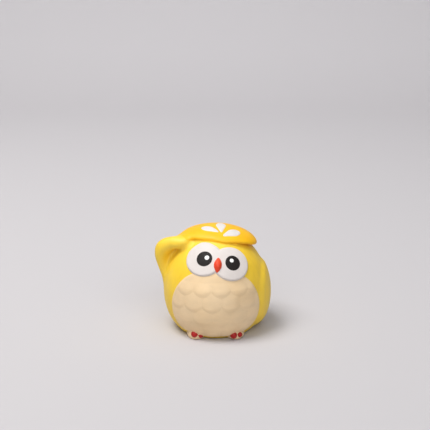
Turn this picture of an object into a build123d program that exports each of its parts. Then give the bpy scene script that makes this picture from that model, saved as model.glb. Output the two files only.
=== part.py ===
# Figural owl coin bank: a hollow cast ball-shaped body with a coin slot in the back of the head
# and a rubber stopper in the base, and sculpted pieces luted on to the body: a brow crest, a raised
# wing, a lowered wing, a tail, two feet, an eye mask, a beak and the coloured inlays.
# Millimetres. +Z up, the owl faces -Y, Z = 0 is the surface it stands on. The pieces are drawn about
# the body's own centre line and all moved together at the end.
from build123d import *
import math
import os

os.makedirs("parts", exist_ok=True)

# ---- driving dimensions -------------------------------------------------------------------
AXIS_X, AXIS_Y = 2.4, 0.0   # where the body's own centre line stands, so that the whole figure is centred
BALL_R = 52.5          # widest radius of the body
BALL_Z = 43.5          # height of the widest section
UP_H, UP_N = 58.5, 1.9     # dome above it: height and superellipse exponent
DN_H, DN_N = 54.75, 2.39   # bowl below it
WALL = 4.5             # thickness of the cast wall
BASE_R = 36.0          # outer radius of the foot ring
RING_IN_R = 29.0       # inner radius of the foot ring
RING_H = 3.5           # depth of the recess inside the foot ring
FLOOR_TOP = 8.5        # top of the base inside the chamber, at the stopper hole
HOLE_R = 19.0          # stopper hole

SLOT_L, SLOT_H, SLOT_Z = 34.0, 5.0, 76.0   # coin slot in the back of the head

CREST_C, CREST_S = (-0.5, 1.0, 83.5), (43.4, 34.0, 22.6)   # brow crest: centre and semi-axes
CREST_EDGE = [(-62, 78.0), (-52, 84.5), (-42, 91.5), (-32, 95.6), (-18, 97.0), (-6, 96.8), (2, 95.4), (8, 94.3),
              (16, 93.6), (24, 92.3), (31, 90.2), (38, 87.2), (44, 84.2), (60, 76.0)]   # its lower edge: x, z
CREST_PETAL_T = 0.5

MASK_T = 2.2           # eye mask thickness
EYE_L = (-17.4, 82.6)  # eye disc centres: azimuth from the front in degrees, height
EYE_R = (21.3, 78.6)
EYE_L_AB, EYE_R_AB = (18.3, 17.2), (18.0, 17.0)   # eye disc semi-axes
FACE_ROLL = 8.5
PUPIL_T = 0.5
PUPIL_L, PUPIL_L_R = (-15.9, 82.2), 7.6
PUPIL_R, PUPIL_R_R = (22.9, 78.4), 7.4
GLINT_T = 0.4
GLINT_L, GLINT_L_R = (-12.3, 83.0), 2.2
GLINT_R, GLINT_R_R = (21.9, 80.2), 1.9
BEAK_C = (2.8, 77.6)
BEAK_LEN, BEAK_W, BEAK_IN = 16.0, 7.6, 0.9

BELLY_T = 0.8
BELLY_EDGE = [(0, 74.0), (14.5, 72.0), (26, 67.0), (34.6, 58.8), (39.9, 49.2), (42.6, 39.0), (42.6, 28.5), (40.2, 18.3),
              (34.6, 10.2), (26.4, 6.4), (14.5, 3.8), (0, 3.1)]   # right half of its outline: x, z

ARM = [((-30.0, -15.5, 94.0), 5.8), ((-42.5, -10.0, 90.6), 6.4), ((-51.5, -6.0, 85.2), 7.4),   # raised wing, hand to
       ((-54.4, -5.0, 77.0), 6.2), ((-52.6, -4.0, 66.0), 4.9), ((-48.7, -3.0, 52.5), 4.2)]     # shoulder: point, radius
WEB_Y, WEB_HALF = -1.2, 2.6

LOW_C, LOW_S = (41.0, -0.5, 36.0), (14.8, 28.0, 32.0)   # lowered wing
LOW_RIM_T, LOW_RIM = 1.8, (27.5, 32.5)     # its thin border: thickness, half depth and half height
TAIL_C, TAIL_S = (0.0, 43.0, 17.0), (14.0, 9.6, 13.0)
FOOT_X, FOOT_Y, FOOT_Z = 20.2, -28.5, 3.0
FOOT_S = (9.8, 12.6, 7.6)
TOES = {  # x, z, radius on the foot's face
    "right_foot_toes": [(-21.0, 5.9, 3.1), (-15.2, 4.5, 2.2)],
    "left_foot_toes": [(17.6, 4.8, 3.2), (24.4, 4.8, 2.5)],
}
JOINT = 0.02           # glaze-thick line between a toe and its foot

FLANGE_R, FLANGE_T = 22.5, 2.2
PLUG_R, PLUG_CORE_R, PLUG_TOP = 18.93, 18.3, 13.0
CUP_R, CUP_TOP = 13.5, 10.6
BAR_W = 4.6


# ---- the ball -----------------------------------------------------------------------------
def profile(off=0.0, z_from=None, n=26):
    """Points (r, z) of the body's outline, moved outwards by off, from low to high, ending on the axis."""
    pts = []
    lo = -math.pi / 2 * 0.62
    for i in range(n + 1):
        t = lo + (math.pi / 2 - lo) * i / n
        h, e = (UP_H, UP_N) if t >= 0 else (DN_H, DN_N)
        c, s = max(math.cos(t), 0.0), abs(math.sin(t))
        r = BALL_R * c ** (2 / e)
        dz = h * s ** (2 / e)
        nr = (r / BALL_R) ** (e - 1) / BALL_R
        nz = (dz / h) ** (e - 1) / h
        m = math.hypot(nr, nz)
        nr, nz = nr / m, nz / m * (1 if t >= 0 else -1)
        z = BALL_Z + dz * (1 if t >= 0 else -1)
        pts.append((r + off * nr, z + off * nz))
    pts[-1] = (0.0, BALL_Z + UP_H + off)
    if z_from is not None:
        for i, (r, z) in enumerate(pts):
            if z > z_from:
                a, b = pts[i - 1], pts[i]
                f = (z_from - a[1]) / (b[1] - a[1])
                start = (a[0] + f * (b[0] - a[0]), z_from)
                rest = pts[i:]
                if rest[0][1] - z_from < 1.0:
                    rest = rest[1:]
                return [start] + rest
    return pts


def spun(points, low):
    """Revolves a spline through points, closed down to the axis by the corner points in low."""
    p3 = [Vector(r, 0, z) for r, z in points]
    curve = Spline(*p3)
    corners = [Vector(r, 0, z) for r, z in low]
    edges = [curve]
    chain = [p3[-1]] + [Vector(0, 0, low[-1][1])] + corners[::-1] + [p3[0]]
    clean = [chain[0]]
    for q in chain[1:]:
        if (q - clean[-1]).length > 1e-6:
            clean.append(q)
    for a, b in zip(clean, clean[1:]):
        edges.append(Line(a, b))
    face = make_face(Wire.combine(edges)[0])
    return revolve(face, axis=Axis.Z, revolution_arc=360)


def ball(off=0.0):
    pts = profile(off, z_from=1.4)
    if off == 0:
        return spun(pts, [(BASE_R, 0.0)])
    return spun(pts, [(pts[0][0], 1.4)])


def normal_at(az, z, off):
    """Point and outward normal on the body at an azimuth (degrees from the front) and height."""
    h, e = (UP_H, UP_N) if z >= BALL_Z else (DN_H, DN_N)
    q = abs(z - BALL_Z) / h
    r = BALL_R * (1 - q**e) ** (1 / e)
    nr, nz = (r / BALL_R) ** (e - 1) / BALL_R, q ** (e - 1) / h
    m = math.hypot(nr, nz)
    nr, nz = nr / m, nz / m * (1 if z >= BALL_Z else -1)
    a = math.radians(az)
    n = Vector(nr * math.sin(a), -nr * math.cos(a), nz)
    p = Vector(r * math.sin(a), -r * math.cos(a), z) + n * off
    return p, n


def seat(az, z, off=0.0, roll=0.0):
    """A plane on the body's surface: its Z is outwards, its X runs level to +X, turned by roll."""
    p, n = normal_at(az, z, off)
    x = Vector(0, 0, 1).cross(n).normalized()
    return Plane(origin=p, x_dir=x, z_dir=n) * Rotation(0, 0, -roll)


def egg(c, s, roll=0.0):
    e = scale(Sphere(1.0), by=s)
    return Pos(*c) * (Rotation(0, roll, 0) * e)


def biggest(shape):
    return sorted(shape.solids(), key=lambda q: q.volume)[-1]


parts = {}
full = ball()
cavity_pts = profile(-WALL, z_from=14.0)
cavity = spun(cavity_pts, [(cavity_pts[0][0] - 5.0, FLOOR_TOP + 0.6), (HOLE_R, FLOOR_TOP)])
recess = Cylinder(RING_IN_R, RING_H + 1, align=(Align.CENTER, Align.CENTER, Align.MIN)).moved(Location((0, 0, -1)))
hole = Cylinder(HOLE_R, 30, align=(Align.CENTER, Align.CENTER, Align.MIN)).moved(Location((0, 0, -5)))
slot = Pos(0, 45, SLOT_Z) * (Rotation(90, 0, 0) * extrude(SlotOverall(SLOT_L, SLOT_H), 14, both=True))
shell = full - cavity - recess - hole - slot
parts["body_shell"] = biggest(shell)

# ---- brow crest ---------------------------------------------------------------------------
crest_egg = egg(CREST_C, CREST_S)
edge_pts = [Vector(x, 0, z) for x, z in CREST_EDGE]
edge = Spline(*edge_pts)
top = [Vector(edge_pts[-1].X, 0, 130), Vector(edge_pts[0].X, 0, 130)]
above = make_face(Wire.combine([edge, Line(edge_pts[-1], top[0]), Line(top[0], top[1]), Line(top[1], edge_pts[0])])[0])
above = extrude(above, 60, dir=(0, 1, 0), both=True)
crest_full = crest_egg & above
crest = biggest(crest_full - full)
parts["brow_crest"] = crest

# ---- eye mask, pupils, glints and beak -----------------------------------------------------
ball_mask = ball(MASK_T)
ball_pupil = ball(MASK_T + PUPIL_T)
ball_glint = ball(MASK_T + PUPIL_T + GLINT_T)


def stub(az, z, a, b, roll, length=16.0):
    return seat(az, z, 0, roll) * extrude(Ellipse(a, b), length / 2, both=True)


eyes = stub(*EYE_L, *EYE_L_AB, FACE_ROLL, 20) + stub(*EYE_R, *EYE_R_AB, FACE_ROLL, 20)
mask = (ball_mask & eyes) - full - crest_full
parts["eye_mask"] = biggest(mask)


def inlay(az, z, r, outer, inner):
    return biggest((outer & stub(az, z, r, r, 0, 16)) - inner)


parts["right_pupil"] = inlay(*PUPIL_L, PUPIL_L_R, ball_pupil, ball_mask)
parts["left_pupil"] = inlay(*PUPIL_R, PUPIL_R_R, ball_pupil, ball_mask)
parts["right_pupil_glint"] = inlay(*GLINT_L, GLINT_L_R, ball_glint, ball_pupil)
parts["left_pupil_glint"] = inlay(*GLINT_R, GLINT_R_R, ball_glint, ball_pupil)

hw, hl = BEAK_W / 2, BEAK_LEN / 2
side = Spline((0, hl, 0), (hw * 0.52, hl * 0.7, 0), (hw * 0.93, hl * 0.28, 0), (hw, -hl * 0.05, 0), (hw * 0.62, -hl * 0.62, 0), (0, -hl, 0))
spindle = revolve(make_face(Wire.combine([side, Line((0, -hl, 0), (0, hl, 0))])[0]), axis=Axis.Y, revolution_arc=360)
beak = seat(*BEAK_C, MASK_T - BEAK_IN, 6.5) * spindle
parts["beak"] = biggest(beak - ball_mask)

# ---- feet, toes, belly ---------------------------------------------------------------------
ground = Box(300, 300, 40, align=(Align.CENTER, Align.CENTER, Align.MAX))
feet = {}
for name, sx in (("right_foot", -1), ("left_foot", 1)):
    f = egg((sx * FOOT_X, FOOT_Y, FOOT_Z), FOOT_S) - ground
    feet[name] = f
    parts[name] = biggest(f - full)
both_feet = feet["right_foot"] + feet["left_foot"]
outline = [(x, z) for x, z in BELLY_EDGE] + [(-x, z) for x, z in BELLY_EDGE[-2:0:-1]]
outline = make_face(Spline(*[Vector(x, 0, z) for x, z in outline], periodic=True))
belly_cut = extrude(outline, 70, dir=(0, -1, 0))
ball_belly = ball(BELLY_T)
lowered_egg = egg(LOW_C, LOW_S)
lowered_rim = extrude(Plane.YZ * Pos(LOW_C[1], LOW_C[2]) * Ellipse(*LOW_RIM), 70, dir=(1, 0, 0))
belly = ((ball_belly & belly_cut) - full) - eyes - both_feet - lowered_egg - lowered_rim
parts["belly_panel"] = biggest(belly)

ball_toes = ball(BELLY_T + JOINT)
for name, toes in TOES.items():
    solids = []
    sx = -1 if name.startswith("right") else 1
    for x, z, w in toes:
        a, b = (x - sx * FOOT_X) / FOOT_S[0], (z - FOOT_Z) / FOOT_S[2]
        c = -math.sqrt(1 - a * a - b * b)
        p = Vector(x, FOOT_Y + c * FOOT_S[1], z)
        n = Vector(a / FOOT_S[0], c / FOOT_S[1], b / FOOT_S[2]).normalized()
        r = 1.08 * w
        bead = Sphere(r).moved(Location((0, 0, -math.sqrt(r * r - w * w))))
        bead = bead - Box(20, 20, 20, align=(Align.CENTER, Align.CENTER, Align.MAX))
        solids.append(biggest(Plane(origin=p + n * JOINT, z_dir=n) * bead - ball_toes))
    parts[name] = solids

# ---- wings and tail ------------------------------------------------------------------------
def limb(a, ra, b, rb):
    a, b = Vector(*a), Vector(*b)
    d = b - a
    pl = Plane(origin=a, z_dir=d.normalized())
    return pl * Cone(ra, rb, d.length, align=(Align.CENTER, Align.CENTER, Align.MIN))


web_pts = [(p[0] - (1.5 if 0 < i < 5 else 0), p[2]) for i, (p, r) in enumerate(ARM)] + [(-38, 60), (-27, 86)]
web = make_face(Polyline(*[Vector(x, 0, z) for x, z in web_pts], close=True))
raised = extrude(web, WEB_HALF, dir=(0, 1, 0), both=True).moved(Location((0, WEB_Y, 0)))
for p, r in ARM:
    raised = raised + Pos(*p) * Sphere(r)
for (p, r), (q, t) in zip(ARM, ARM[1:]):
    raised = raised + limb(p, r, q, t)
parts["raised_wing"] = biggest(raised - full - crest_full - eyes)

rim = ball(LOW_RIM_T) & lowered_rim
lowered = (lowered_egg + rim) - full
parts["lowered_wing"] = sorted(lowered.solids(), key=lambda q: q.center().X)[-1]
tail = egg(TAIL_C, TAIL_S) - full
parts["tail"] = sorted(tail.solids(), key=lambda q: q.center().Y)[-1]

# ---- crest petals --------------------------------------------------------------------------
petal_egg = egg(CREST_C, tuple(s + CREST_PETAL_T for s in CREST_S))


def petal(x0, y0, x1, y1, w):
    """Leaf-shaped prism seen from above, pointed at (x0, y0) and round at (x1, y1)."""
    L = math.hypot(x1 - x0, y1 - y0)
    ux, uy = (x1 - x0) / L, (y1 - y0) / L
    def at(u, v):
        return (x0 + ux * u - uy * v, y0 + uy * u + ux * v)
    half = [(0.0, 0.0), (0.3, 0.62), (0.62, 1.0), (0.88, 0.72)]
    right = [at(L * u, w / 2 * v) for u, v in half] + [at(L, 0)]
    left = [at(L * u, -w / 2 * v) for u, v in half[::-1]]
    a = Spline(*right[:5] + left[:4])
    f = make_face(a)
    return extrude(f, 60).moved(Location((0, 0, 80)))


for name, spec in {
    "crest_petal_centre": (5.6, -15.2, 5.0, 7.0, 9.4),
    "crest_petal_right": (2.6, -15.0, -13.6, -4.4, 8.6),
    "crest_petal_left": (7.6, -19.8, 23.6, -8.0, 9.4),
}.items():
    p = (petal_egg & petal(*spec)) - crest_egg
    parts[name] = sorted(p.solids(), key=lambda q: q.center().Z)[-1]

# ---- rubber stopper ------------------------------------------------------------------------
zt = RING_H
prof = [
    (0, zt - FLANGE_T + 0.0), (CUP_R, zt - FLANGE_T), (FLANGE_R - 0.6, zt - FLANGE_T), (FLANGE_R, zt - FLANGE_T + 0.6),
    (FLANGE_R, zt - 0.5), (FLANGE_R - 0.5, zt), (PLUG_CORE_R, zt), (PLUG_CORE_R, zt + 1.0), (PLUG_R, zt + 1.5),
    (PLUG_R, zt + 2.2), (PLUG_CORE_R, zt + 2.7), (PLUG_CORE_R, zt + 3.4), (PLUG_R, zt + 3.9), (PLUG_R, zt + 4.6),
    (PLUG_CORE_R, zt + 5.1), (PLUG_CORE_R - 0.3, PLUG_TOP - 1.2), (PLUG_CORE_R - 1.5, PLUG_TOP), (0, PLUG_TOP),
]
plug = revolve(make_face(Polyline(*[Vector(r, 0, z) for r, z in prof], close=True)), axis=Axis.Z, revolution_arc=360)
cup = Cylinder(CUP_R, CUP_TOP, align=(Align.CENTER, Align.CENTER, Align.MIN)).moved(Location((0, 0, 0)))
cup = fillet(cup.edges().filter_by(GeomType.CIRCLE).sort_by(Axis.Z)[-1:], 2.0)
bar = Box(BAR_W, 2 * CUP_R + 2, CUP_TOP - (zt - FLANGE_T) + 1, align=(Align.CENTER, Align.CENTER, Align.MIN)).moved(Location((0, 0, zt - FLANGE_T + 0.3)))
parts["stopper"] = biggest(plug - (cup - bar))

for name, shape in parts.items():
    place = Location((AXIS_X, AXIS_Y, 0))
    if isinstance(shape, list):
        shape = Compound([biggest(q.moved(place) & Box(400, 400, 400)) for q in shape])
    else:
        shape = shape.moved(place)
    export_step(shape, f"parts/{name}.step")
    bb = shape.bounding_box()
    print(f"{name:20s} {[round(v, 2) for v in (bb.min.X, bb.min.Y, bb.min.Z, bb.max.X, bb.max.Y, bb.max.Z)]}")
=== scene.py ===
import bpy
import math
import numpy as np
from mathutils import Vector, Matrix


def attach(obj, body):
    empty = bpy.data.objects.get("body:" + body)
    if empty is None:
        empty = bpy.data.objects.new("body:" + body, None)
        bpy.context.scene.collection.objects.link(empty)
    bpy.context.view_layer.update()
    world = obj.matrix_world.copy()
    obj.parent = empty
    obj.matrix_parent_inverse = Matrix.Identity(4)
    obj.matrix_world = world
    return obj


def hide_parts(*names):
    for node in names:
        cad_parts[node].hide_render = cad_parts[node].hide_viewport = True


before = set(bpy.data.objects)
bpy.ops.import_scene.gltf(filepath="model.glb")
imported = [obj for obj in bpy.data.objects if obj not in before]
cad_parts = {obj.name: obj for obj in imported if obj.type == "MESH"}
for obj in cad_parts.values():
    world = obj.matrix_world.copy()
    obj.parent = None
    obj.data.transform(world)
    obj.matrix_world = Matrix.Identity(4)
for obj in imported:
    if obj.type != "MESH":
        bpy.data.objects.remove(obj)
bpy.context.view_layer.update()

# ------------------------------------------------------------------ dimensions, millimetres, about the body's centre line
AX, AY = 2.4, 0.0
BALL_R, BALL_Z = 52.5, 43.5
UP_H, UP_N = 58.5, 1.9
DN_H, DN_N = 54.75, 2.39
WALL = 4.5
BASE_R, RING_IN_R, RING_H, HOLE_R = 36.0, 29.0, 3.5, 19.0
SLOT_L, SLOT_H, SLOT_Z = 34.0, 5.0, 76.0
CREST_C, CREST_S = (-0.5, 1.0, 83.5), (43.4, 34.0, 22.6)
CREST_EDGE = [(-62, 78.0), (-52, 84.5), (-42, 91.5), (-32, 95.6), (-18, 97.0), (-6, 96.8), (2, 95.4), (8, 94.3),
              (16, 93.6), (24, 92.3), (31, 90.2), (38, 87.2), (44, 84.2), (60, 76.0)]
MASK_T = 2.2
EYE_L, EYE_R = (-17.4, 82.6), (21.3, 78.6)
EYE_L_AB, EYE_R_AB, FACE_ROLL = (18.3, 17.2), (18.0, 17.0), 8.5
PUPILS = [("right_pupil", -15.9, 82.2, 7.6), ("left_pupil", 22.9, 78.4, 7.4)]
GLINTS = [("right_pupil_glint", -12.3, 83.0, 2.2), ("left_pupil_glint", 21.9, 80.2, 1.9)]
BEAK_C, BEAK_LEN, BEAK_W, BEAK_IN = (2.8, 77.6), 16.0, 7.6, 0.9
BELLY_T = 0.8
BELLY_EDGE = [(0, 74.0), (14.5, 72.0), (26, 67.0), (34.6, 58.8), (39.9, 49.2), (42.6, 39.0), (42.6, 28.5), (40.2, 18.3),
              (34.6, 10.2), (26.4, 6.4), (14.5, 3.8), (0, 3.1)]
ARM = [((-30.0, -15.5, 94.0), 5.8), ((-42.5, -10.0, 90.6), 6.4), ((-51.5, -6.0, 85.2), 7.4),
       ((-54.4, -5.0, 77.0), 6.2), ((-52.6, -4.0, 66.0), 4.9), ((-48.7, -3.0, 52.5), 4.2)]
ARM_LINE = np.array([(-27.0, -13.8, 89.6, 4.2), (-33.0, -13.6, 91.0, 5.4)] + [tuple(p) + (r,) for p, r in ARM[1:]] + [(-46.5, -3.0, 44.0, 2.5)])
WEB = [(p[0] - (1.5 if 0 < i < 5 else 0), p[2]) for i, (p, r) in enumerate(ARM)] + [(-38, 60), (-27, 86)]
WEB_Y, WEB_HALF = -1.2, 2.6
LOW_C, LOW_S = (41.0, -0.5, 36.0), (14.8, 28.0, 32.0)
LOW_RIM_T, LOW_RIM = 1.8, (27.5, 32.5)
TAIL_C, TAIL_S = (0.0, 43.0, 17.0), (14.0, 9.6, 13.0)
FOOT_X, FOOT_Y, FOOT_Z, FOOT_S = 19.2, -28.5, 3.0, (9.2, 12.6, 7.6)
TOES = {"right_foot_toes": [(-21.0, 5.9, 3.1), (-14.5, 4.4, 2.6)], "left_foot_toes": [(17.6, 4.8, 3.2), (24.0, 4.8, 2.4)]}
PETALS = {"crest_petal_centre": (5.6, -15.2, 5.0, 7.0, 9.4), "crest_petal_right": (2.6, -15.0, -13.6, -4.4, 8.6),
          "crest_petal_left": (7.6, -19.8, 23.6, -8.0, 9.4)}
STEP = 0.75
F = np.float32


# ------------------------------------------------------------------ distance fields
def smin(a, b, k):
    h = np.clip(0.5 + 0.5 * (b - a) / k, 0, 1)
    return b + (a - b) * h - k * h * (1 - h)


def smax(a, b, k):
    return -smin(-a, -b, k)


def spline_closed(pts, per=14):
    p = np.array(pts, float)
    n = len(p)
    out = []
    for i in range(n):
        a, b, c, d = p[i - 1], p[i], p[(i + 1) % n], p[(i + 2) % n]
        for t in np.linspace(0, 1, per, endpoint=False):
            out.append(0.5 * ((2 * b) + (c - a) * t + (2 * a - 5 * b + 4 * c - d) * t * t + (3 * b - a - 3 * c + d) * t ** 3))
    return np.array(out)


class Plan:
    """Signed distance to a closed outline, kept in a fine table and looked up smoothly."""

    def __init__(self, pts, step=0.25, pad=12.0):
        pts = np.array(pts, float)
        lo, hi = pts.min(0) - pad, pts.max(0) + pad
        nx, ny = (np.ceil((hi - lo) / step).astype(int) + 2)
        self.lo, self.step = lo, step
        gx, gy = np.meshgrid(lo[0] + step * np.arange(nx), lo[1] + step * np.arange(ny), indexing="ij")
        best = np.full(gx.shape, 1e9)
        inside = np.zeros(gx.shape, bool)
        for a, b in zip(pts, np.roll(pts, -1, 0)):
            ab = b - a
            t = np.clip(((gx - a[0]) * ab[0] + (gy - a[1]) * ab[1]) / max(ab @ ab, 1e-12), 0, 1)
            best = np.minimum(best, (gx - a[0] - t * ab[0]) ** 2 + (gy - a[1] - t * ab[1]) ** 2)
            if a[1] != b[1]:
                inside ^= ((a[1] > gy) != (b[1] > gy)) & (gx < (b[0] - a[0]) * (gy - a[1]) / (b[1] - a[1]) + a[0])
        d = np.sqrt(best)
        self.d = np.where(inside, -d, d).astype(F)

    def __call__(self, u, v):
        fx = np.clip((u - self.lo[0]) / self.step, 0, self.d.shape[0] - 1.001)
        fy = np.clip((v - self.lo[1]) / self.step, 0, self.d.shape[1] - 1.001)
        i, j = fx.astype(np.int32), fy.astype(np.int32)
        a, b = fx - i, fy - j
        d = self.d
        return (d[i, j] * (1 - a) + d[i + 1, j] * a) * (1 - b) + (d[i, j + 1] * (1 - a) + d[i + 1, j + 1] * a) * b


def petal_outline(x0, y0, x1, y1, w):
    L = math.hypot(x1 - x0, y1 - y0)
    ux, uy = (x1 - x0) / L, (y1 - y0) / L
    half = [(0.0, 0.0), (0.3, 0.62), (0.62, 1.0), (0.88, 0.72), (1.0, 0.0)]
    side = half + [(a, -b) for a, b in half[-2:0:-1]]
    return spline_closed([(x0 + ux * L * a - uy * w / 2 * b, y0 + uy * L * a + ux * w / 2 * b) for a, b in side])


belly_plan = Plan(spline_closed(BELLY_EDGE + [(-x, z) for x, z in BELLY_EDGE[-2:0:-1]]))
web_plan = Plan(WEB)
petal_plans = {k: Plan(petal_outline(*v), 0.2, 6) for k, v in PETALS.items()}
_ex = np.linspace(-62, 60, 500)
_cx, _cz = np.array(CREST_EDGE, float).T


def natural(xk, yk, x):
    n = len(xk)
    h = np.diff(xk)
    A = np.zeros((n, n)); r = np.zeros(n)
    A[0, 0] = A[-1, -1] = 1
    for i in range(1, n - 1):
        A[i, i - 1], A[i, i], A[i, i + 1] = h[i - 1], 2 * (h[i - 1] + h[i]), h[i]
        r[i] = 3 * ((yk[i + 1] - yk[i]) / h[i] - (yk[i] - yk[i - 1]) / h[i - 1])
    c = np.linalg.solve(A, r)
    i = np.clip(np.searchsorted(xk, x) - 1, 0, n - 2)
    b = (yk[i + 1] - yk[i]) / h[i] - h[i] * (2 * c[i] + c[i + 1]) / 3
    d = (c[i + 1] - c[i]) / (3 * h[i])
    t = x - xk[i]
    return yk[i] + b * t + c[i] * t * t + d * t ** 3


_ez = natural(_cx, _cz, _ex)


def ball(x, y, z):
    r = np.sqrt(x * x + y * y)
    up = z >= BALL_Z
    n = np.where(up, UP_N, DN_N).astype(F)
    h = np.where(up, UP_H, DN_H).astype(F)
    a, b = np.maximum(r / BALL_R, 1e-4), np.maximum(np.abs(z - BALL_Z) / h, 1e-4)
    s = a ** n + b ** n
    g = s ** (1 / n)
    k = g / s
    gr, gz = k * a ** (n - 1) / BALL_R, k * b ** (n - 1) / h
    return (g - 1) / np.sqrt(gr * gr + gz * gz)


def egg(x, y, z, c, s):
    x, y, z = x - c[0], y - c[1], z - c[2]
    k0 = np.sqrt((x / s[0]) ** 2 + (y / s[1]) ** 2 + (z / s[2]) ** 2)
    k1 = np.sqrt((x / s[0] ** 2) ** 2 + (y / s[1] ** 2) ** 2 + (z / s[2] ** 2) ** 2)
    return k0 * (k0 - 1) / np.maximum(k1, 1e-6)


def limb(x, y, z, a, ra, b, rb):
    a, b = np.array(a, float), np.array(b, float)
    ab = b - a
    t = np.clip(((x - a[0]) * ab[0] + (y - a[1]) * ab[1] + (z - a[2]) * ab[2]) / (ab @ ab), 0, 1)
    return np.sqrt((x - a[0] - t * ab[0]) ** 2 + (y - a[1] - t * ab[1]) ** 2 + (z - a[2] - t * ab[2]) ** 2) - (ra + (rb - ra) * t)


def seat(az, z, off=0.0, roll=0.0):
    h, e = (UP_H, UP_N) if z >= BALL_Z else (DN_H, DN_N)
    q = abs(z - BALL_Z) / h
    r = BALL_R * (1 - q ** e) ** (1 / e)
    nr, nz = (r / BALL_R) ** (e - 1) / BALL_R, q ** (e - 1) / h * (1 if z >= BALL_Z else -1)
    m = math.hypot(nr, nz)
    a = math.radians(az)
    n = np.array([nr / m * math.sin(a), -nr / m * math.cos(a), nz / m])
    p = np.array([r * math.sin(a), -r * math.cos(a), z]) + n * off
    ux = np.cross([0, 0, 1], n); ux /= np.linalg.norm(ux)
    uy = np.cross(n, ux)
    c, s = math.cos(math.radians(-roll)), math.sin(math.radians(-roll))
    return p, ux * c + uy * s, -ux * s + uy * c, n


def local(x, y, z, frame3):
    p, ux, uy, n = frame3
    x, y, z = x - p[0], y - p[1], z - p[2]
    return x * ux[0] + y * ux[1] + z * ux[2], x * uy[0] + y * uy[1] + z * uy[2], x * n[0] + y * n[1] + z * n[2]


def disc(x, y, z, fr, a, b, deep=9.0):
    u, v, w = local(x, y, z, fr)
    k0 = np.sqrt((u / a) ** 2 + (v / b) ** 2)
    k1 = np.sqrt((u / a ** 2) ** 2 + (v / b ** 2) ** 2)
    return np.maximum(k0 * (k0 - 1) / np.maximum(k1, 1e-6), -w - deep)


EYE_F = [seat(*EYE_L, 0, FACE_ROLL), seat(*EYE_R, 0, FACE_ROLL)]
PUPIL_F = {n: seat(a, z) for n, a, z, r in PUPILS}
GLINT_F = {n: seat(a, z) for n, a, z, r in GLINTS}
PUPIL_RR = {n: r for n, a, z, r in PUPILS}
GLINT_RR = {n: r for n, a, z, r in GLINTS}
BEAK_F = seat(*BEAK_C, MASK_T - BEAK_IN, 6.5)
_bt = np.array([-1, -0.8, -0.62, -0.3, -0.05, 0.12, 0.28, 0.5, 0.7, 0.86, 1.0])
_bw = np.array([0.0, 0.36, 0.62, 0.92, 1.0, 0.99, 0.93, 0.76, 0.52, 0.28, 0.0])
toe_balls = {}
for _n, _ts in TOES.items():
    _sx = -1 if _n.startswith("right") else 1
    toe_balls[_n] = []
    for _x, _z, _w in _ts:
        _a, _b = (_x - _sx * FOOT_X) / FOOT_S[0], (_z - FOOT_Z) / FOOT_S[2]
        _c = -math.sqrt(1 - _a * _a - _b * _b)
        _p = np.array([_x, FOOT_Y + _c * FOOT_S[1], _z])
        _nn = np.array([_a / FOOT_S[0], _c / FOOT_S[1], _b / FOOT_S[2]]); _nn /= np.linalg.norm(_nn)
        _r = 1.08 * _w
        toe_balls[_n].append((_p - _nn * math.sqrt(_r * _r - _w * _w) * 0.35, _r))


def scallops(x, y, z):
    """Low overlapping feather relief on the belly: each feather is thickest at its round lower tip."""
    az = np.degrees(np.arctan2(x, -y))
    pitch, row_h, z_row = 20.5, 15.8, 57.0
    u = (az - 6.0) / pitch
    s = (z - z_row) / row_h
    best = np.zeros_like(x)
    base = np.floor(s).astype(np.int32)
    for d in (0, 1, 2):
        r = base + d
        off = np.where((r % 2) == 0, 0.0, 0.5)
        q = u - off
        q = q - np.round(q)                       # across one feather, -0.5 .. 0.5
        tip = r.astype(F) - 0.36 * (1 - np.sqrt(np.maximum(1 - (q / 0.53) ** 2, 0))) * -1.0 - 0.5
        t = s - tip                               # how far above this feather's edge
        on = np.clip(t / 0.55 + 0.5, 0, 1)
        on = on * on * (3 - 2 * on)
        lump = on * (1.0 - np.clip(t, 0, 1.7) / 1.7) * (1 - 0.6 * (q / 0.5) ** 2)
        best = np.maximum(best, np.where(r <= 0, lump, 0))
    fade = np.clip((z_row + 5.0 - z) / 7.0, 0, 1)
    return best * fade


def smooth_line(p, per=5):
    out = []
    q = np.vstack([2 * p[0] - p[1], p, 2 * p[-1] - p[-2]])
    for i in range(1, len(q) - 2):
        a, b, c, d = q[i - 1:i + 3]
        for t in np.linspace(0, 1, per, endpoint=False):
            out.append(0.5 * ((2 * b) + (c - a) * t + (2 * a - 5 * b + 4 * c - d) * t * t + (3 * b - a - 3 * c + d) * t ** 3))
    return np.array(out + [p[-1]])


arm_pts = smooth_line(ARM_LINE)


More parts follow.
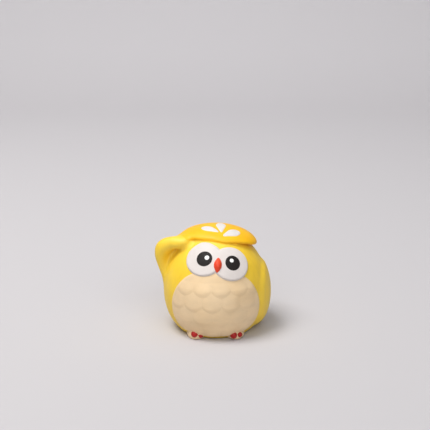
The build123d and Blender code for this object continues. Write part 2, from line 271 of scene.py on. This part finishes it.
def fields(x, y, z):
    f = {}
    b = ball(x, y, z)
    f["skin"] = b
    body = smax(b, -z, 1.0)
    crest = egg(x, y, z, CREST_C, CREST_S)
    f["crest_egg"] = crest
    ez = np.interp(x, _ex, _ez).astype(F)
    sl = np.interp(x, _ex, np.gradient(_ez, _ex)).astype(F)
    sheet = (ez - z) / np.sqrt(1 + sl * sl)
    crest = smax(crest, sheet, 5.5)
    wing = np.full_like(x, 60.0)
    at_wing = (x < -8) & (z > 36) & (y > -40) & (y < 22)
    wx, wy, wz = x[at_wing], y[at_wing], z[at_wing]
    arm = np.full_like(wx, 60.0)
    for p, q in zip(arm_pts, arm_pts[1:]):
        arm = np.minimum(arm, limb(wx, wy, wz, p[:3], p[3], q[:3], q[3]))
    plate = smax(web_plan(wx, wz), np.abs(wy + 2.2) - 3.0, 2.0)
    wing[at_wing] = smin(plate, arm, 6.5)
    low = egg(x, y, z, LOW_C, LOW_S)
    rim = np.sqrt(((y - LOW_C[1]) / LOW_RIM[0]) ** 2 + ((z - LOW_C[2]) / LOW_RIM[1]) ** 2)
    rim = smax(b - LOW_RIM_T, np.maximum((rim - 1) * LOW_RIM[0], 4 - x), 3.2)
    low = smin(low, rim, 3.0)
    tail = egg(x, y, z, TAIL_C, TAIL_S)
    eyes = smin(disc(x, y, z, EYE_F[0], *EYE_L_AB), disc(x, y, z, EYE_F[1], *EYE_R_AB), 0.6)
    f["eyes"] = eyes
    mask = smax(b - MASK_T, eyes, 1.5)
    belly2 = np.maximum(belly_plan(x, z), y + 8)
    f["belly2"] = belly2
    near = (b < 6) & (b > -6) & (belly2 < 4)
    relief = np.zeros_like(x)
    relief[near] = scallops(x[near], y[near], z[near])
    belly = smax(b - 0.5 - 1.25 * relief, belly2, 1.2)
    f["belly"] = belly
    feet = {}
    for n, sx in (("right_foot", -1), ("left_foot", 1)):
        feet[n] = smax(egg(x, y, z, (sx * FOOT_X, FOOT_Y, FOOT_Z), FOOT_S), -z, 0.8)
    f.update(feet)
    for n, bs in toe_balls.items():
        t = None
        for c, r in bs:
            q = np.sqrt((x - c[0]) ** 2 + (y - c[1]) ** 2 + (z - c[2]) ** 2) - r
            t = q if t is None else np.minimum(t, q)
        f[n] = smax(t, -z + 0.1, 0.5)
    for n, fr in PUPIL_F.items():
        f[n + "_2"] = disc(x, y, z, fr, PUPIL_RR[n], PUPIL_RR[n])
        f[n] = smax(b - MASK_T - 0.45, f[n + "_2"], 0.6)
    for n, fr in GLINT_F.items():
        f[n + "_2"] = disc(x, y, z, fr, GLINT_RR[n], GLINT_RR[n])
        f[n] = smax(b - MASK_T - 0.75, f[n + "_2"], 0.4)
    u, v, w = local(x, y, z, BEAK_F)
    rr = np.interp(np.clip(v / (BEAK_LEN / 2), -1, 1), _bt, _bw).astype(F) * BEAK_W / 2
    over = np.maximum(np.abs(v) - BEAK_LEN / 2, 0)
    f["beak"] = (np.sqrt(u * u + w * w + over * over) - rr) * 0.86
    for n, pl in petal_plans.items():
        f[n + "_2"] = np.maximum(pl(x, y), 92 - z)
        f[n] = smax(f["crest_egg"] - 0.45, f[n + "_2"], 0.6)
    f["crest"], f["wing"], f["low"], f["tail"], f["mask"] = crest, wing, low, tail, mask
    out = smin(body, belly, 0.5)
    out = smin(out, low, 4.5)
    out = smin(out, tail, 2.5)
    out = smin(out, wing, 4.5)
    out = smin(out, mask, 0.5)
    for n in feet:
        out = smin(out, feet[n], 1.5)
    for n in toe_balls:
        out = smin(out, f[n], 0.25)
    for n in list(PUPIL_F) + list(GLINT_F):
        out = smin(out, f[n], 0.25)
    out = smin(out, f["beak"], 0.5)
    out = smin(out, crest, np.clip(2.2 + 4.2 * (2 - x) / 24, 2.2, 6.4).astype(F))
    for n in petal_plans:
        out = smin(out, f[n], 0.25)
    out = np.maximum(out, -z)
    r = np.sqrt(x * x + y * y)
    cavity = smax(b + WALL, 8.5 + 0.03 * (r - HOLE_R) - z, 2.0)
    recess = smax(r - RING_IN_R, z - RING_H, 0.6)
    hole = np.maximum(r - HOLE_R, z - 20)
    sx_ = np.maximum(np.abs(x) - (SLOT_L - SLOT_H) / 2, 0)
    slot = np.maximum(np.sqrt(sx_ ** 2 + (z - SLOT_Z) ** 2) - SLOT_H / 2, 22 - y)
    out = smax(out, -cavity, 0.6)
    out = smax(out, -recess, 0.7)
    out = smax(out, -hole, 0.7)
    out = smax(out, -slot, 0.9)
    f["all"] = out
    return f


def total(p):
    return fields(p[:, 0].astype(F), p[:, 1].astype(F), p[:, 2].astype(F))["all"]


# ------------------------------------------------------------------ surface nets
def surface(step):
    lo = np.array([-63.0, -54.0, -2.25]); hi = np.array([59.0, 56.0, 110.0])
    n = np.ceil((hi - lo) / step).astype(int) + 1
    ax = [(lo[i] + step * np.arange(n[i])).astype(F) for i in range(3)]
    V = np.empty(n, F)
    slab = 24
    for i in range(0, n[0], slab):
        X, Y, Z = np.meshgrid(ax[0][i:i + slab], ax[1], ax[2], indexing="ij")
        V[i:i + slab] = fields(X.ravel(), Y.ravel(), Z.ravel())["all"].reshape(X.shape)
    V[V == 0] = 1e-6
    inside = V < 0
    c = [inside[a:n[0] - 1 + a, b:n[1] - 1 + b, d:n[2] - 1 + d] for a in (0, 1) for b in (0, 1) for d in (0, 1)]
    cnt = sum(q.astype(np.int8) for q in c)
    act = (cnt > 0) & (cnt < 8)
    idx = np.full(act.shape, -1, np.int64)
    I, J, K = np.nonzero(act)
    idx[I, J, K] = np.arange(len(I))
    acc = np.zeros((len(I), 3)); num = np.zeros(len(I))
    for axis in range(3):
        o = [q for q in range(3) if q != axis]
        for a in (0, 1):
            for b in (0, 1):
                s = [I.copy(), J.copy(), K.copy()]
                s[o[0]] += a; s[o[1]] += b
                e = [q.copy() for q in s]; e[axis] += 1
                v0, v1 = V[s[0], s[1], s[2]], V[e[0], e[1], e[2]]
                m = (v0 < 0) != (v1 < 0)
                t = v0[m] / (v0[m] - v1[m])
                pt = np.stack([s[0][m], s[1][m], s[2][m]], 1).astype(float)
                pt[:, axis] += t
                acc[m] += pt; num[m] += 1
    verts = lo + step * (acc / num[:, None])
    quads = []
    for axis in range(3):
        o = [(axis + 1) % 3, (axis + 2) % 3]
        sl0 = [slice(0, n[q]) for q in range(3)]; sl1 = [slice(0, n[q]) for q in range(3)]
        sl0[axis] = slice(0, n[axis] - 1); sl1[axis] = slice(1, n[axis])
        for q in o:
            sl0[q] = sl1[q] = slice(1, n[q] - 1)
        A, B = inside[tuple(sl0)], inside[tuple(sl1)]
        pos = np.argwhere(A != B)
        flip = A[tuple(pos.T)]
        for q in o:
            pos[:, q] += 1
        def cell(da, db):
            s = pos.copy(); s[:, o[0]] -= da; s[:, o[1]] -= db
            return idx[s[:, 0], s[:, 1], s[:, 2]]
        qd = np.stack([cell(1, 1), cell(0, 1), cell(0, 0), cell(1, 0)], 1)
        qd[~flip] = qd[~flip][:, ::-1]
        quads.append(qd)
    return verts, np.concatenate(quads)


def grad(p, h=0.12):
    g = np.zeros_like(p)
    for a in range(3):
        d = np.zeros(3); d[a] = h
        g[:, a] = (total(p + d) - total(p - d)) / (2 * h)
    return g


verts, quads = surface(STEP)
for _ in range(3):
    g = grad(verts)
    d = total(verts)
    m2 = np.maximum((g * g).sum(1), 0.15)
    stepv = g * (d / m2)[:, None]
    ln = np.linalg.norm(stepv, axis=1)
    stepv *= np.minimum(1, 0.35 * STEP / np.maximum(ln, 1e-9))[:, None]
    verts = verts - stepv
tris = np.concatenate([quads[:, [0, 1, 2]], quads[:, [0, 2, 3]]])


def cut(v, t, g):
    """Splits triangles along g = 0. Returns the new vertices, the triangles where g < 0 and the rest."""
    g = np.where(np.abs(g) < 1e-4, 1e-4, g)
    neg = g[t] < 0
    k = neg.sum(1)
    low, high = [t[k == 3]], [t[k == 0]]
    new_v, new_n = [], len(v)
    mix = t[(k == 1) | (k == 2)]
    mk = (g[mix] < 0)
    one = mk.sum(1) == 1
    lone = np.where(one[:, None], mk, ~mk).argmax(1)
    a = mix[np.arange(len(mix)), lone]; b = mix[np.arange(len(mix)), (lone + 1) % 3]; c = mix[np.arange(len(mix)), (lone + 2) % 3]
    e = np.concatenate([np.stack([a, b], 1), np.stack([a, c], 1)])
    es = np.sort(e, 1)
    uniq, inv = np.unique(es, axis=0, return_inverse=True)
    inv = inv.ravel()
    ga, gb = g[uniq[:, 0]], g[uniq[:, 1]]
    w = (ga / (ga - gb))[:, None]
    pts = v[uniq[:, 0]] * (1 - w) + v[uniq[:, 1]] * w
    pid = inv + len(v)
    ab, ac = pid[:len(mix)], pid[len(mix):]
    tip = np.stack([a, ab, ac], 1)
    rest = np.concatenate([np.stack([ab, b, c], 1), np.stack([ab, c, ac], 1)])
    two = np.concatenate([one, one])
    low += [tip[one], rest[~two]]
    high += [tip[~one], rest[two]]
    return np.concatenate([v, pts]), np.concatenate(low), np.concatenate(high)


def at(v):
    return fields(v[:, 0].astype(F), v[:, 1].astype(F), v[:, 2].astype(F))


plan = []
for n in petal_plans:
    plan.append((n, lambda f, n=n: np.maximum(f[n + "_2"] - 0.15, -(f["crest_egg"] + 2))))
plan.append(("brow_crest", lambda f: np.maximum(f["crest"] - np.minimum(np.minimum(f["skin"], f["mask"]), f["wing"]) , -f["skin"] - 1.4)))
for n in GLINT_F:
    plan.append((n, lambda f, n=n: np.maximum(f[n + "_2"] - 0.1, -f["skin"] - 1.4)))
plan.append(("beak", lambda f: np.maximum(f["beak"] - np.minimum(f["mask"], f["skin"]), -f["skin"] - 1.4)))
for n in PUPIL_F:
    plan.append((n, lambda f, n=n: np.maximum(f[n + "_2"] - 0.15, -f["skin"] - 1.4)))
plan.append(("eye_mask", lambda f: np.maximum(f["eyes"] - 0.3, -f["skin"] - 1.4)))
for n in TOES:
    plan.append((n, lambda f, n=n: np.maximum(f[n] - 0.1, -f["skin"] - 1.4)))
for n in ("right_foot", "left_foot"):
    plan.append((n, lambda f, n=n: np.maximum(f[n] - np.minimum(f["skin"], f["belly"]), -f["skin"] - 1.4)))
plan.append(("lowered_wing", lambda f: np.maximum(f["low"] - np.minimum(f["skin"], f["belly"]), -f["skin"] - 1.4)))
plan.append(("belly_panel", lambda f: np.maximum(f["belly2"] - 0.15, -f["skin"] - 1.4)))
plan.append(("raised_wing", lambda f: np.maximum(f["wing"] - f["skin"], -f["skin"] - 1.4)))
plan.append(("tail", lambda f: np.maximum(f["tail"] - f["skin"], -f["skin"] - 1.4)))

left = tris
owned = {}
fv = at(verts)
for name, rule in plan:
    g = rule(fv)
    before = len(verts)
    verts, mine, left = cut(verts, left, g)
    if len(verts) > before:
        extra = at(verts[before:])
        fv = {k: np.concatenate([fv[k], extra[k]]) for k in fv}
    owned[name] = mine
owned["body_shell"] = left
normals = grad(verts, 0.18)
normals /= np.maximum(np.linalg.norm(normals, axis=1), 1e-9)[:, None]


# ------------------------------------------------------------------ materials
def lin(r, g, b):
    def f(c):
        c /= 255
        return c / 12.92 if c <= 0.04045 else ((c + 0.055) / 1.055) ** 2.4
    return (f(r), f(g), f(b), 1.0)


def paint(name, base, dark, light, rough=0.55, streak=(60, 60, 14), streak_amt=0.35, bump=0.25, grain=900.0, spec=0.35):
    """Hand-brushed matte paint: broad tone drift, long brush streaks and fine grain."""
    m = bpy.data.materials.new(name)
    m.use_nodes = True
    nt = m.node_tree
    N, L = nt.nodes, nt.links
    N.clear()
    out = N.new("ShaderNodeOutputMaterial")
    bsdf = N.new("ShaderNodeBsdfPrincipled")
    L.new(bsdf.outputs[0], out.inputs[0])
    tc = N.new("ShaderNodeTexCoord")
    mp = N.new("ShaderNodeMapping")
    mp.inputs["Scale"].default_value = streak
    L.new(tc.outputs["Object"], mp.inputs["Vector"])
    streaks = N.new("ShaderNodeTexNoise")
    streaks.inputs["Scale"].default_value = 3.0
    streaks.inputs["Detail"].default_value = 6.0
    streaks.inputs["Roughness"].default_value = 0.6
    L.new(mp.outputs[0], streaks.inputs["Vector"])
    drift = N.new("ShaderNodeTexNoise")
    drift.inputs["Scale"].default_value = 34.0
    drift.inputs["Detail"].default_value = 3.0
    L.new(tc.outputs["Object"], drift.inputs["Vector"])
    fine = N.new("ShaderNodeTexNoise")
    fine.inputs["Scale"].default_value = grain
    fine.inputs["Detail"].default_value = 4.0
    L.new(tc.outputs["Object"], fine.inputs["Vector"])
    ramp1 = N.new("ShaderNodeValToRGB")
    ramp1.color_ramp.elements[0].position = 0.32
    ramp1.color_ramp.elements[0].color = dark
    ramp1.color_ramp.elements[1].position = 0.68
    ramp1.color_ramp.elements[1].color = light
    mid = ramp1.color_ramp.elements.new(0.5)
    mid.color = base
    L.new(drift.outputs["Fac"], ramp1.inputs["Fac"])
    ramp2 = N.new("ShaderNodeValToRGB")
    ramp2.color_ramp.elements[0].position = 0.35
    ramp2.color_ramp.elements[0].color = tuple(c * (1 - 0.16 * streak_amt * 2) for c in base[:3]) + (1,)
    ramp2.color_ramp.elements[1].position = 0.65
    ramp2.color_ramp.elements[1].color = tuple(min(1, c * (1 + 0.10 * streak_amt * 2)) for c in base[:3]) + (1,)
    L.new(streaks.outputs["Fac"], ramp2.inputs["Fac"])
    mix = N.new("ShaderNodeMix")
    mix.data_type = "RGBA"
    mix.inputs[0].default_value = 0.5
    L.new(ramp1.outputs[0], mix.inputs[6])
    L.new(ramp2.outputs[0], mix.inputs[7])
    L.new(mix.outputs[2], bsdf.inputs["Base Color"])
    rr = N.new("ShaderNodeMapRange")
    rr.inputs["From Min"].default_value = 0.3
    rr.inputs["From Max"].default_value = 0.7
    rr.inputs["To Min"].default_value = rough - 0.07
    rr.inputs["To Max"].default_value = rough + 0.09
    L.new(streaks.outputs["Fac"], rr.inputs["Value"])
    L.new(rr.outputs[0], bsdf.inputs["Roughness"])
    b1 = N.new("ShaderNodeBump")
    b1.inputs["Strength"].default_value = bump
    b1.inputs["Distance"].default_value = 0.00025
    L.new(streaks.outputs["Fac"], b1.inputs["Height"])
    b2 = N.new("ShaderNodeBump")
    b2.inputs["Strength"].default_value = bump * 0.7
    b2.inputs["Distance"].default_value = 0.00008
    L.new(fine.outputs["Fac"], b2.inputs["Height"])
    L.new(b1.outputs[0], b2.inputs["Normal"])
    L.new(b2.outputs[0], bsdf.inputs["Normal"])
    bsdf.inputs["Specular IOR Level"].default_value = spec
    return m


Y = dict(base=lin(246, 206, 54), dark=lin(240, 196, 38), light=lin(250, 213, 68))
M = {
    "yellow_paint": paint("yellow_paint", rough=0.5, spec=0.6, streak=(60, 60, 14), streak_amt=0.28, **Y),
    "deep_yellow_paint": paint("deep_yellow_paint", lin(250, 188, 22), lin(246, 180, 13), lin(252, 196, 35), rough=0.48, streak=(14, 40, 60), streak_amt=0.3),
    "white_paint": paint("white_paint", lin(217, 209, 204), lin(211, 202, 197), lin(223, 216, 212), rough=0.55, streak=(30, 30, 30), streak_amt=0.25),
    "black_gloss": paint("black_gloss", lin(32, 27, 26), lin(26, 22, 21), lin(38, 34, 32), rough=0.6, streak=(40, 40, 40), streak_amt=0.3, spec=0.2),
    "petal_white": paint("petal_white", lin(220, 215, 211), lin(214, 208, 203), lin(226, 221, 218), rough=0.5, streak=(40, 40, 20), streak_amt=0.2),
    "white_gloss": paint("white_gloss", lin(248, 246, 244), lin(242, 240, 238), lin(252, 250, 248), rough=0.4, streak_amt=0.1),
    "orange_red_paint": paint("orange_red_paint", lin(232, 74, 38), lin(218, 58, 32), lin(240, 88, 48), rough=0.42, streak=(40, 40, 16), streak_amt=0.35),
    "cream_paint": paint("cream_paint", lin(236, 207, 165), lin(230, 198, 152), lin(240, 213, 174), rough=0.56, streak=(16, 40, 44), streak_amt=0.3),
    "dark_red_paint": paint("dark_red_paint", lin(176, 30, 27), lin(158, 24, 22), lin(190, 38, 33), rough=0.4, streak_amt=0.3),
    "stopper_rubber": paint("stopper_rubber", lin(226, 222, 214), lin(216, 211, 202), lin(233, 230, 223), rough=0.62, streak=(30, 30, 30), streak_amt=0.2, bump=0.15),
}
SLOT = {n: "yellow_paint" for n in ("body_shell", "raised_wing", "lowered_wing", "tail")}
SLOT.update({"brow_crest": "deep_yellow_paint", "eye_mask": "white_paint", "beak": "orange_red_paint", "belly_panel": "cream_paint",
             "right_foot": "cream_paint", "left_foot": "cream_paint", "right_foot_toes": "dark_red_paint", "left_foot_toes": "dark_red_paint",
             "right_pupil": "black_gloss", "left_pupil": "black_gloss", "right_pupil_glint": "white_gloss", "left_pupil_glint": "white_gloss",
             "crest_petal_right": "white_paint", "crest_petal_centre": "white_paint", "crest_petal_left": "white_paint"})

shift = np.array([AX, AY, 0.0])
for name, t in owned.items():
    used, inv = np.unique(t.ravel(), return_inverse=True)
    t2 = inv.reshape(-1, 3)
    good = (t2[:, 0] != t2[:, 1]) & (t2[:, 1] != t2[:, 2]) & (t2[:, 0] != t2[:, 2])
    t2 = t2[good]
    me = bpy.data.meshes.new("v_" + name)
    me.from_pydata(((verts[used] + shift) * 0.001).tolist(), [], t2.tolist())
    me.polygons.foreach_set("use_smooth", [True] * len(me.polygons))
    me.update()
    me.normals_split_custom_set_from_vertices(normals[used].tolist())
    o = bpy.data.objects.new("v_" + name, me)
    bpy.context.collection.objects.link(o)
    me.materials.append(M["petal_white" if name.startswith("crest_petal") else SLOT[name]])
    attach(o, "bank")
    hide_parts(name)

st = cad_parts["stopper"]
st.data.materials.clear()
st.data.materials.append(M["stopper_rubber"])

# ------------------------------------------------------------------ stage: pale sweep, soft studio light
def stage_mat(name, col):
    m = bpy.data.materials.new(name)
    m.use_nodes = True
    nt = m.node_tree
    b = nt.nodes["Principled BSDF"]
    tc = nt.nodes.new("ShaderNodeTexCoord")
    sx = nt.nodes.new("ShaderNodeSeparateXYZ")
    nt.links.new(tc.outputs["Object"], sx.inputs[0])
    # painted light and shade: the sweep colour is scaled from 0.73 at the front to 1.14 towards the back along Y, a
    # painted light falloff standing in for lamp light on an even pale paper
    painted_falloff_range = nt.nodes.new("ShaderNodeMapRange")
    painted_falloff_range.inputs["From Min"].default_value = -0.4
    painted_falloff_range.inputs["From Max"].default_value = 1.6
    nt.links.new(sx.outputs["Y"], painted_falloff_range.inputs["Value"])
    r = nt.nodes.new("ShaderNodeValToRGB")
    r.color_ramp.elements[0].color = tuple(c * 0.73 for c in col[:3]) + (1,)
    r.color_ramp.elements[1].color = tuple(min(1, c * 1.14) for c in col[:3]) + (1,)
    nt.links.new(painted_falloff_range.outputs[0], r.inputs["Fac"])
    nt.links.new(r.outputs[0], b.inputs["Base Color"])
    b.inputs["Roughness"].default_value = 0.7
    b.inputs["Specular IOR Level"].default_value = 0.2
    return m


prof = [(-6.0, -0.0002)] + [(1.2, -0.0002)]
for i in range(1, 17):
    a = math.pi / 2 * i / 16
    prof.append((1.2 + 1.0 * math.sin(a), 1.0 - 1.0 * math.cos(a)))
prof.append((2.2, 6.0))
vs, fs = [], []
for yy, zz in prof:
    vs += [(-6.0, yy, zz), (6.0, yy, zz)]
for i in range(len(prof) - 1):
    fs.append((2 * i, 2 * i + 1, 2 * i + 3, 2 * i + 2))
me = bpy.data.meshes.new("sweep")
me.from_pydata(vs, [], fs)
me.polygons.foreach_set("use_smooth", [True] * len(me.polygons))
sweep = bpy.data.objects.new("sweep", me)
bpy.context.collection.objects.link(sweep)
# pale paper colour with the painted front-to-back light falloff from stage_mat
me.materials.append(stage_mat("sweep_paper_painted_falloff", lin(216, 213, 215)))


def area(name, loc, target, size, power, col=(1, 1, 1)):
    l = bpy.data.lights.new(name, "AREA")
    l.shape = "RECTANGLE"; l.size, l.size_y = size
    l.energy = power; l.color = col
    o = bpy.data.objects.new(name, l)
    bpy.context.collection.objects.link(o)
    o.location = loc
    o.rotation_mode = "QUATERNION"
    o.rotation_quaternion = (Vector(target) - Vector(loc)).to_track_quat("-Z", "Y")
    return o


area("key", (-0.7, -0.42, 1.95), (0, 0, 0.05), (1.0, 1.0), 37, (1.0, 0.985, 0.965))
area("fill", (0.3, -1.95, 1.6), (0, 0, 0.05), (2.8, 1.2), 29, (0.97, 0.985, 1.0))
area("top", (0.1, 0.2, 2.4), (0.1, 0.2, 0), (2.4, 2.4), 12, (0.97, 0.98, 1.0))
w = bpy.data.worlds.new("studio")
bpy.context.scene.world = w
w.use_nodes = True
w.node_tree.nodes["Background"].inputs[0].default_value = (0.93, 0.94, 1.0, 1)
w.node_tree.nodes["Background"].inputs[1].default_value = 0.13

# ------------------------------------------------------------------ camera
cam = bpy.data.cameras.new("camera")
cam.lens, cam.sensor_width = 85.0, 36.0
cam.clip_start, cam.clip_end = 0.05, 50
co = bpy.data.objects.new("camera", cam)
bpy.context.collection.objects.link(co)
ELEV, PX = 20.0, 0.001012
depth = 430 * PX * cam.lens / cam.sensor_width
off = math.atan(66.0 * PX / depth)
dist = depth / math.cos(off)
e = math.radians(ELEV)
P = Vector((0.0018, 0.0, 0.0468))
co.location = P + Vector((0, -math.cos(e), math.sin(e))) * dist
pitch = e - off
co.rotation_euler = (math.pi / 2 - pitch, 0, 0)
bpy.context.scene.camera = co
sc = bpy.context.scene
sc.view_settings.view_transform = "Standard"
sc.view_settings.look = "None"
sc.view_settings.exposure = 0.0
